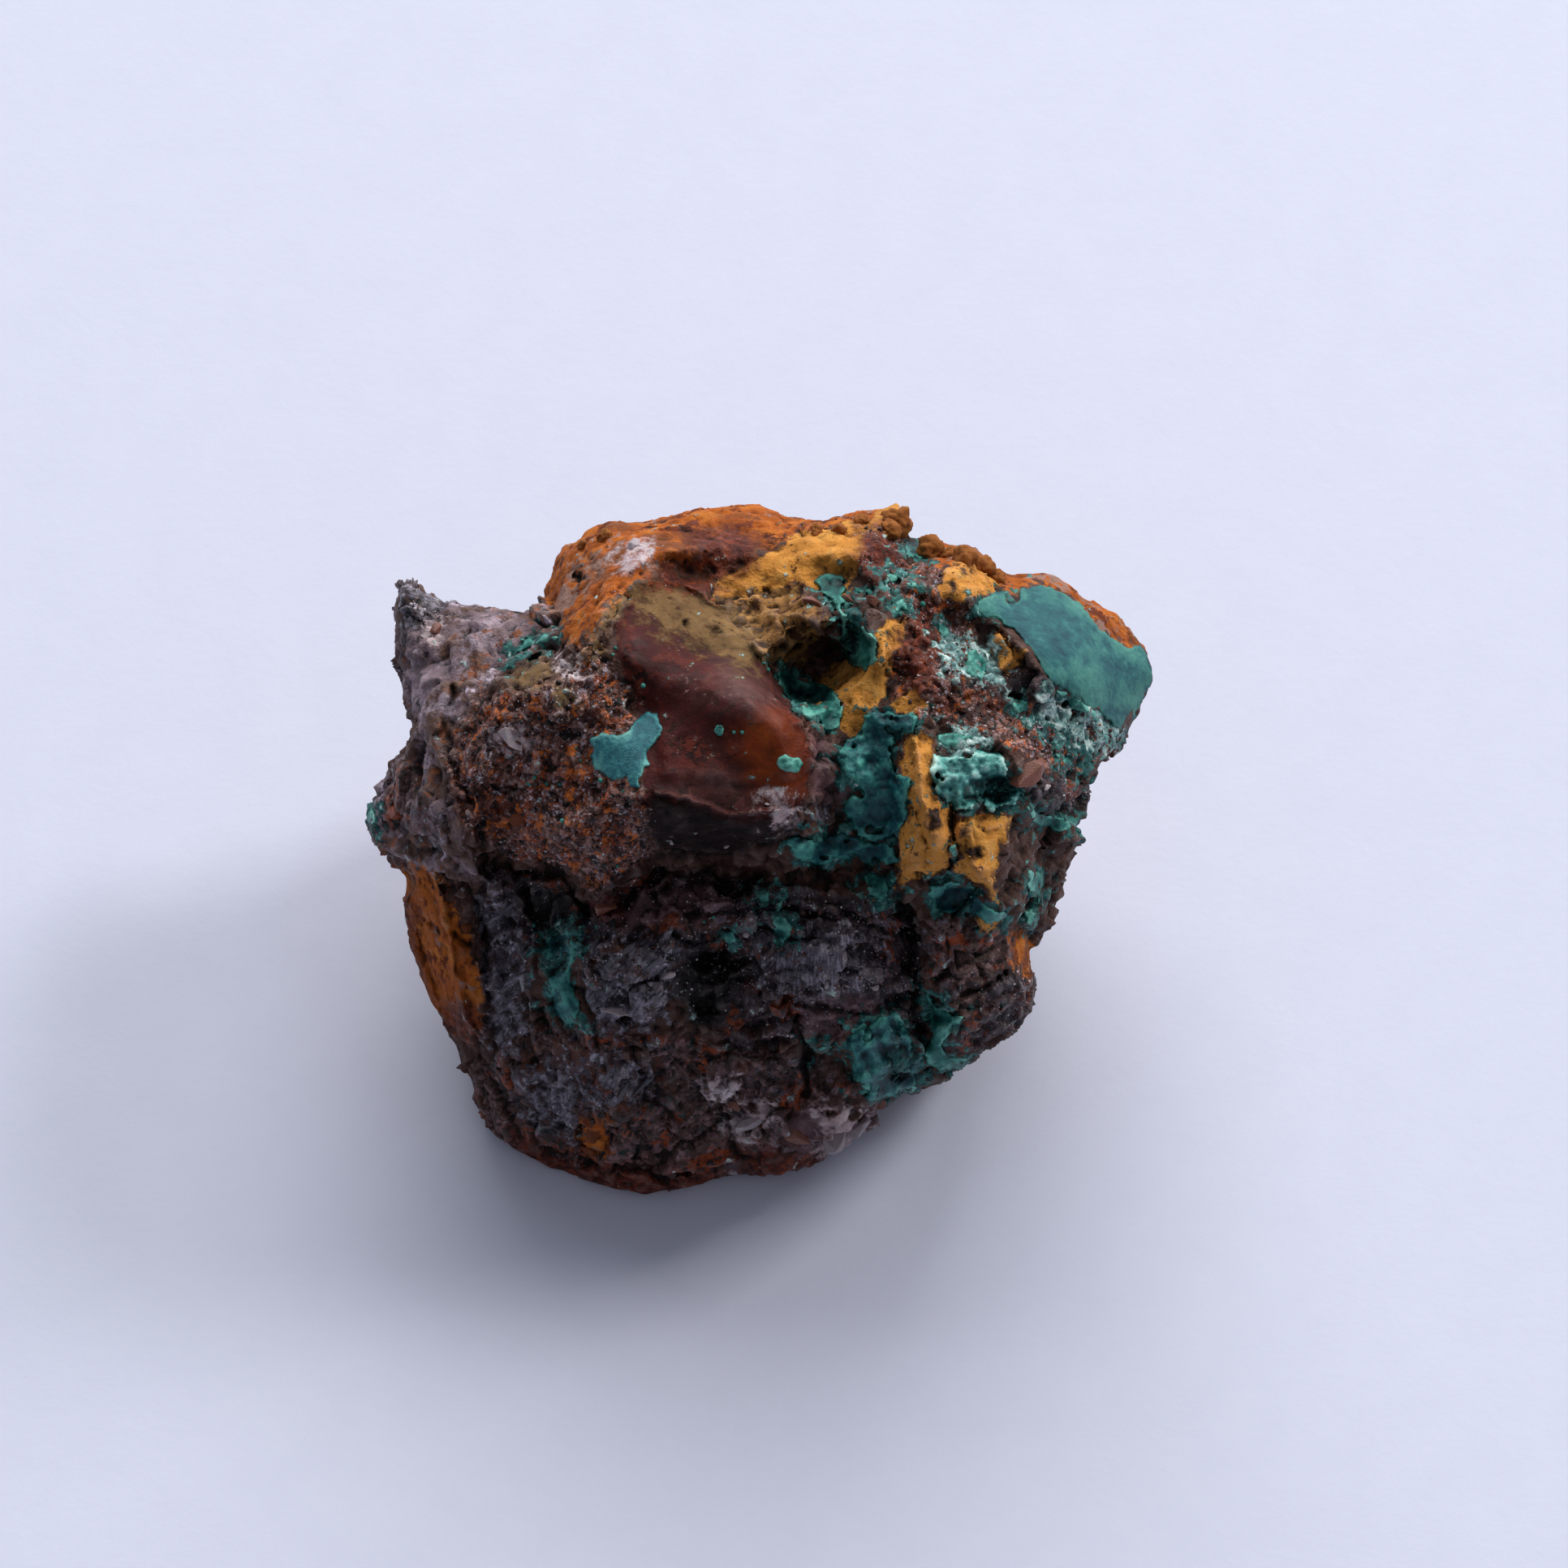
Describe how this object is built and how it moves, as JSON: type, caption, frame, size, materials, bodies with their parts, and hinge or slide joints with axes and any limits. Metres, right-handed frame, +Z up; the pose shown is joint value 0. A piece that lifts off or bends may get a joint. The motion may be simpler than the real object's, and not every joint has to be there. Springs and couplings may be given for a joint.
{
  "type": "pseudomalachite specimen",
  "caption": "Rough lump of iron-stained gossan rock with blue-green pseudomalachite crusts on its shoulder, ribs and hollows, resting on a flat broken base.",
  "frame": {"origin": "middle of the overall box at the base, on the surface the stone rests on", "axes": "+Z up, display side towards -Y and leaning back, +X to the display side's right"},
  "size_m": [0.0398, 0.03, 0.0269],
  "materials": {
    "gossan": "rough, earthy to waxy, dark brown with ochre and rust patches",
    "pseudomalachite": "satin to waxy blue-green crust with paler nodules"
  },
  "bodies": {
    "root": {"matrix": "gossan", "crust_shoulder_plate": "pseudomalachite", "crust_jasper_patch": "pseudomalachite", "crust_cave_lip": "pseudomalachite", "crust_cave_curtain": "pseudomalachite", "crust_rib_side": "pseudomalachite", "crust_pocket": "pseudomalachite", "crust_ledge": "pseudomalachite", "crust_blade": "pseudomalachite", "crust_foot": "pseudomalachite", "crust_lobe_edge": "pseudomalachite", "crust_left_fan": "pseudomalachite"}
  },
  "joints": []
}
